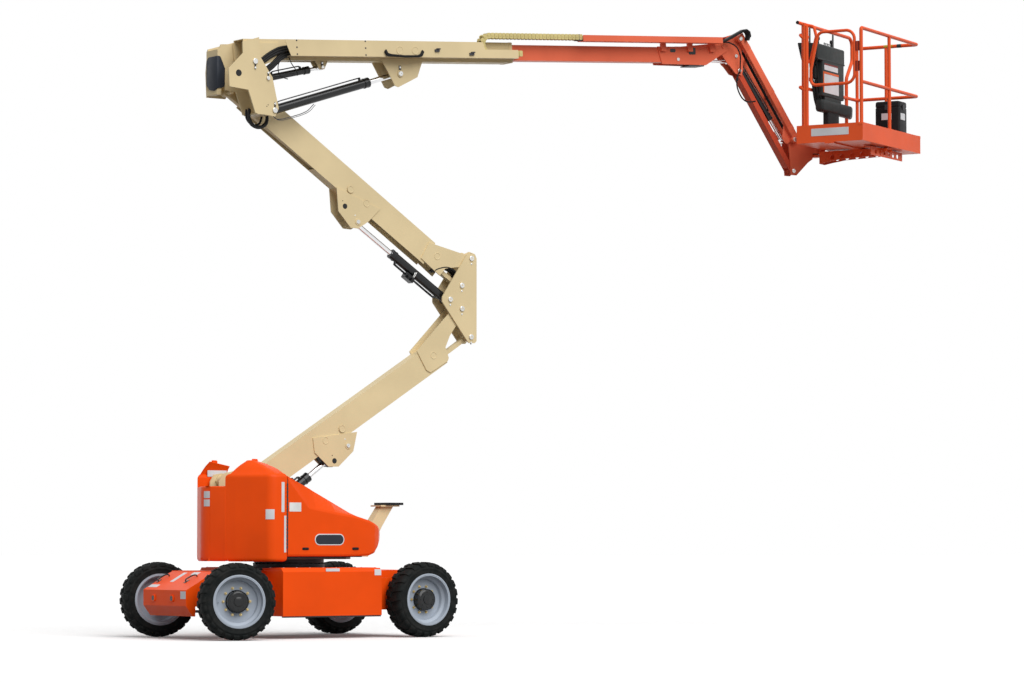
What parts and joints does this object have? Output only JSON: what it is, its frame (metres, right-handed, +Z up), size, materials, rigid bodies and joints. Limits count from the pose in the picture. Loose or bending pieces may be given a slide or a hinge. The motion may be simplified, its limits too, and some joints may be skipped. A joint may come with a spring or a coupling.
{
  "type": "articulating boom lift",
  "caption": "Self-propelled electric work platform: four-wheel chassis, turning turret, folding two-stage riser, telescopic boom, jib and rotating railed basket.",
  "frame": {"origin": "on the ground, on the slewing axis midway between the axles", "axes": "+X the way the raised boom points, away from the steered wheels; +Y to the side away from the platform's overhang; +Z up"},
  "size_m": [9.0011, 2.0898, 6.3045],
  "materials": {
    "orange_paint": "gloss enamel",
    "tan_paint": "satin enamel",
    "tyre_rubber": "moulded rubber",
    "grey_paint": "satin enamel",
    "dark_steel": "dark painted casting",
    "black_paint": "gloss black enamel",
    "chromed_rod": "hard chrome",
    "black_plastic": "moulded",
    "grey_plastic": "moulded",
    "track_plastic": "moulded links"
  },
  "bodies": {
    "chassis": {"chassis_frame": "orange_paint", "slewing_ring_lower": "dark_steel", "front_axle": "orange_paint", "rear_axle": "orange_paint"},
    "knuckle_near": {"knuckle_near": "dark_steel"},
    "knuckle_far": {"knuckle_far": "dark_steel"},
    "tie_rod": {"tie_rod": "dark_steel"},
    "wheel_front_near": {"tyre_front_near": "tyre_rubber", "rim_front_near": "grey_paint"},
    "wheel_front_far": {"tyre_front_far": "tyre_rubber", "rim_front_far": "grey_paint"},
    "wheel_rear_near": {"tyre_rear_near": "tyre_rubber", "rim_rear_near": "grey_paint"},
    "wheel_rear_far": {"tyre_rear_far": "tyre_rubber", "rim_rear_far": "grey_paint"},
    "turret": {"turntable": "dark_steel", "tower_base": "tan_paint", "batteries": "black_plastic", "counterweight": "dark_steel", "boom_rest": "tan_paint", "boom_rest_pad": "black_plastic"},
    "hood_rear_near": {"hood_rear_near": "orange_paint"},
    "hood_rear_far": {"hood_rear_far": "orange_paint"},
    "hood_front_near": {"hood_front_near": "orange_paint"},
    "hood_front_far": {"hood_front_far": "orange_paint"},
    "lower_arm": {"lower_arm": "tan_paint"},
    "lower_link": {"lower_link": "tan_paint"},
    "knee": {"knee": "tan_paint"},
    "upper_arm": {"upper_arm": "tan_paint"},
    "upper_link": {"upper_link": "tan_paint"},
    "upright": {"upper_upright": "tan_paint", "end_cover": "grey_plastic"},
    "base_boom": {"base_boom": "tan_paint", "boom_tray": "tan_paint"},
    "power_track": {"power_track": "track_plastic"},
    "fly_boom": {"fly_boom": "orange_paint", "fly_tray": "orange_paint"},
    "level_bracket": {"level_bracket": "orange_paint"},
    "jib_upper": {"jib_upper": "orange_paint"},
    "jib_lower": {"jib_lower": "orange_paint"},
    "platform_support": {"platform_support": "orange_paint", "rotator": "dark_steel"},
    "platform": {"platform_beam": "orange_paint", "platform_floor": "orange_paint", "guard_rails": "orange_paint", "console": "grey_plastic", "tool_box": "black_plastic"},
    "gate": {"gate": "orange_paint"},
    "tower_cylinder_low_barrel": {"tower_cylinder_low_barrel": "black_paint"},
    "tower_cylinder_low_rod": {"tower_cylinder_low_rod": "chromed_rod"},
    "tower_cylinder_high_barrel": {"tower_cylinder_high_barrel": "black_paint"},
    "tower_cylinder_high_rod": {"tower_cylinder_high_rod": "chromed_rod"},
    "lift_cylinder_barrel": {"lift_cylinder_barrel": "black_paint"},
    "lift_cylinder_rod": {"lift_cylinder_rod": "chromed_rod"},
    "master_cylinder_barrel": {"master_cylinder_barrel": "black_paint"},
    "master_cylinder_rod": {"master_cylinder_rod": "chromed_rod"},
    "slave_cylinder_barrel": {"slave_cylinder_barrel": "black_paint"},
    "slave_cylinder_rod": {"slave_cylinder_rod": "chromed_rod"},
    "jib_cylinder_barrel": {"jib_cylinder_barrel": "black_paint"},
    "jib_cylinder_rod": {"jib_cylinder_rod": "chromed_rod"}
  },
  "joints": [
    {"name": "steer_near", "type": "hinge", "parent": "chassis", "child": "knuckle_near", "pos_m": [-1.01, -0.68, 0.355], "axis": [0, 0, 1], "range_deg": [-12.7, 47.3]},
    {"name": "steer_far", "type": "hinge", "parent": "chassis", "child": "knuckle_far", "pos_m": [-1.01, 0.68, 0.355], "axis": [0, 0, 1], "range_deg": [-12.7, 47.3]},
    {"name": "tie_rod_near", "type": "hinge", "parent": "knuckle_near", "child": "tie_rod", "pos_m": [-0.83767, -0.59751, 0.248], "axis": [0, 0, 1], "range_deg": [-58.47, 15.71]},
    {"name": "wheel_front_near_roll", "type": "hinge", "parent": "knuckle_near", "child": "wheel_front_near", "pos_m": [-1.0323, -0.75161, 0.355], "axis": [0.2974, 0.9548, 0], "continuous": true},
    {"name": "wheel_rear_near_roll", "type": "hinge", "parent": "chassis", "child": "wheel_rear_near", "pos_m": [1.01, -0.755, 0.355], "axis": [0, 1, 0], "continuous": true},
    {"name": "wheel_front_far_roll", "type": "hinge", "parent": "knuckle_far", "child": "wheel_front_far", "pos_m": [-0.9877, 0.75161, 0.355], "axis": [0.2974, 0.9548, 0], "continuous": true},
    {"name": "wheel_rear_far_roll", "type": "hinge", "parent": "chassis", "child": "wheel_rear_far", "pos_m": [1.01, 0.755, 0.355], "axis": [0, 1, 0], "continuous": true},
    {"name": "slew", "type": "hinge", "parent": "chassis", "child": "turret", "pos_m": [0, 0, 0.7], "axis": [0, 0, 1], "range_deg": [-177.5, 177.5]},
    {"name": "hood_rear_near_swing", "type": "hinge", "parent": "turret", "child": "hood_rear_near", "pos_m": [-0.44, -0.67, 1.15], "axis": [0, 0, 1], "range_deg": [0, 90]},
    {"name": "hood_rear_far_swing", "type": "hinge", "parent": "turret", "child": "hood_rear_far", "pos_m": [-0.44, 0.67, 1.15], "axis": [0, 0, 1], "range_deg": [-90, 0]},
    {"name": "hood_front_near_lift", "type": "hinge", "parent": "turret", "child": "hood_front_near", "pos_m": [-0.43, -0.27, 1.51], "axis": [-0.9042, 0, 0.4271], "range_deg": [0, 60]},
    {"name": "hood_front_far_lift", "type": "hinge", "parent": "turret", "child": "hood_front_far", "pos_m": [-0.43, 0.35, 1.51], "axis": [0.9042, 0, -0.4271], "range_deg": [0, 60]},
    {"name": "tower_lift", "type": "hinge", "parent": "turret", "child": "lower_arm", "pos_m": [-0.58115, 0.22, 1.46721], "axis": [0, -1, 0], "range_deg": [-32.93, 32.07]},
    {"name": "knee_pivot", "type": "hinge", "parent": "lower_arm", "child": "knee", "pos_m": [2.085, 0.22, 3.194], "axis": [0, -1, 0], "range_deg": [-32.07, 32.93]},
    {"name": "upper_arm_pivot", "type": "hinge", "parent": "knee", "child": "upper_arm", "pos_m": [2.199, 0.22, 3.697], "axis": [0, 1, 0], "range_deg": [-32.93, 32.07]},
    {"name": "upright_pivot", "type": "hinge", "parent": "upper_arm", "child": "upright", "pos_m": [-0.46715, 0.22, 5.42379], "axis": [0, 1, 0], "range_deg": [-32.07, 32.93]},
    {"name": "lower_link_pivot", "type": "hinge", "parent": "turret", "child": "lower_link", "pos_m": [-0.47115, 0.22, 1.19121], "axis": [0, -1, 0], "range_deg": [-32.93, 32.07]},
    {"name": "upper_link_pivot", "type": "hinge", "parent": "knee", "child": "upper_link", "pos_m": [2.084, 0.22, 3.424], "axis": [0, 1, 0], "range_deg": [-32.93, 32.07]},
    {"name": "boom_lift", "type": "hinge", "parent": "upright", "child": "base_boom", "pos_m": [-0.467, 0, 5.424], "axis": [0, -1, 0], "range_deg": [-19.25, 71.05]},
    {"name": "telescope", "type": "slide", "parent": "base_boom", "child": "fly_boom", "axis": [0.9976, 0, 0.0689], "range_m": [-1.75, 0]},
    {"name": "track_slide", "type": "slide", "parent": "base_boom", "child": "power_track", "axis": [0.9976, 0, 0.0689], "range_m": [-0.875, 0]},
    {"name": "level_pivot", "type": "hinge", "parent": "fly_boom", "child": "level_bracket", "pos_m": [5.24, 0, 6.03], "axis": [0, -1, 0], "range_deg": [-71.05, 19.25]},
    {"name": "jib_lift", "type": "hinge", "parent": "level_bracket", "child": "jib_upper", "pos_m": [5.44, 0, 6.12], "axis": [0, -1, 0], "range_deg": [-6, 138]},
    {"name": "jib_lower_pivot", "type": "hinge", "parent": "level_bracket", "child": "jib_lower", "pos_m": [5.47, 0, 5.795], "axis": [0, -1, 0], "range_deg": [-6, 138]},
    {"name": "support_pivot", "type": "hinge", "parent": "jib_upper", "child": "platform_support", "pos_m": [6.16885, 0, 5.11682], "axis": [0, -1, 0], "range_deg": [-138, 6]},
    {"name": "platform_turn", "type": "hinge", "parent": "platform_support", "child": "platform", "pos_m": [6.53669, -0.00165, 5.094], "axis": [0, 0, 1], "range_deg": [-25.1, 154.9]},
    {"name": "gate_swing", "type": "hinge", "parent": "platform", "child": "gate", "pos_m": [6.21968, -1.06229, 5.878], "axis": [0, 0, 1], "range_deg": [-85, 0]},
    {"name": "tower_cylinder_low_swing", "type": "hinge", "parent": "turret", "child": "tower_cylinder_low_barrel", "pos_m": [-0.274, 0.22, 1.061], "axis": [0, -1, 0], "range_deg": [-33.21, 32.35]},
    {"name": "tower_cylinder_low_stroke", "type": "slide", "parent": "tower_cylinder_low_barrel", "child": "tower_cylinder_low_rod", "axis": [0.8058, 0, 0.5921], "range_m": [-0.27841, 0.27114]},
    {"name": "tower_cylinder_high_swing", "type": "hinge", "parent": "knee", "child": "tower_cylinder_high_barrel", "pos_m": [1.945, 0.22, 3.281], "axis": [0, -1, 0], "range_deg": [-31.74, 32.59]},
    {"name": "tower_cylinder_high_stroke", "type": "slide", "parent": "tower_cylinder_high_barrel", "child": "tower_cylinder_high_rod", "axis": [-0.8336, 0, 0.5524], "range_m": [-0.2683, 0.2613]},
    {"name": "lift_cylinder_swing", "type": "hinge", "parent": "upright", "child": "lift_cylinder_barrel", "pos_m": [-0.247, 0, 4.974], "axis": [0, -1, 0], "range_deg": [-17.75, 65.47]},
    {"name": "lift_cylinder_stroke", "type": "slide", "parent": "lift_cylinder_barrel", "child": "lift_cylinder_rod", "axis": [0.9526, 0, 0.3043], "range_m": [-0.16012, 0.59074]},
    {"name": "master_cylinder_swing", "type": "hinge", "parent": "upright", "child": "master_cylinder_barrel", "pos_m": [-0.323, 0, 5.274], "axis": [0, -1, 0], "range_deg": [-19.16, 70.68]},
    {"name": "master_cylinder_stroke", "type": "slide", "parent": "master_cylinder_barrel", "child": "master_cylinder_rod", "axis": [0.9704, 0, 0.2417], "range_m": [-0.05397, 0.19894]},
    {"name": "slave_cylinder_swing", "type": "hinge", "parent": "fly_boom", "child": "slave_cylinder_barrel", "pos_m": [4.64599, 0, 5.84722], "axis": [0, -1, 0], "range_deg": [-4.24, 1.16]},
    {"name": "slave_cylinder_stroke", "type": "slide", "parent": "slave_cylinder_barrel", "child": "slave_cylinder_rod", "axis": [0.9986, 0, 0.0528], "range_m": [-0.21323, 0.05784]},
    {"name": "jib_cylinder_swing", "type": "hinge", "parent": "level_bracket", "child": "jib_cylinder_barrel", "pos_m": [5.426, 0, 5.945], "axis": [0, -1, 0], "range_deg": [-5.89, 134.93]},
    {"name": "jib_cylinder_stroke", "type": "slide", "parent": "jib_cylinder_barrel", "child": "jib_cylinder_rod", "axis": [0.6208, 0, -0.784], "range_m": [-0.01633, 0.37332]}
  ],
  "couplings": [
    {"joint": "steer_far", "follows": "steer_near", "ratio": 1},
    {"joint": "tie_rod_near", "follows": "steer_near", "ratio": -1.236},
    {"joint": "knee_pivot", "follows": "tower_lift", "ratio": -1},
    {"joint": "upper_arm_pivot", "follows": "tower_lift", "ratio": 1},
    {"joint": "upright_pivot", "follows": "tower_lift", "ratio": -1},
    {"joint": "lower_link_pivot", "follows": "tower_lift", "ratio": 1},
    {"joint": "upper_link_pivot", "follows": "tower_lift", "ratio": 1},
    {"joint": "track_slide", "follows": "telescope", "ratio": 0.5},
    {"joint": "level_pivot", "follows": "boom_lift", "ratio": -1},
    {"joint": "jib_lower_pivot", "follows": "jib_lift", "ratio": 1},
    {"joint": "support_pivot", "follows": "jib_lift", "ratio": -1},
    {"joint": "tower_cylinder_low_swing", "follows": "tower_lift", "ratio": 1.008},
    {"joint": "tower_cylinder_low_stroke", "follows": "tower_lift", "m_per_rad": 0.48424},
    {"joint": "tower_cylinder_high_swing", "follows": "tower_lift", "ratio": -0.98918},
    {"joint": "tower_cylinder_high_stroke", "follows": "tower_lift", "m_per_rad": 0.46665},
    {"joint": "lift_cylinder_swing", "follows": "boom_lift", "ratio": 0.92123},
    {"joint": "lift_cylinder_stroke", "follows": "boom_lift", "m_per_rad": 0.4763},
    {"joint": "master_cylinder_swing", "follows": "boom_lift", "ratio": 0.99447},
    {"joint": "master_cylinder_stroke", "follows": "boom_lift", "m_per_rad": 0.16035},
    {"joint": "slave_cylinder_swing", "follows": "boom_lift", "ratio": -0.059354},
    {"joint": "slave_cylinder_stroke", "follows": "boom_lift", "m_per_rad": -0.17187},
    {"joint": "jib_cylinder_swing", "follows": "jib_lift", "ratio": 0.97761},
    {"joint": "jib_cylinder_stroke", "follows": "jib_lift", "m_per_rad": 0.15496}
  ]
}
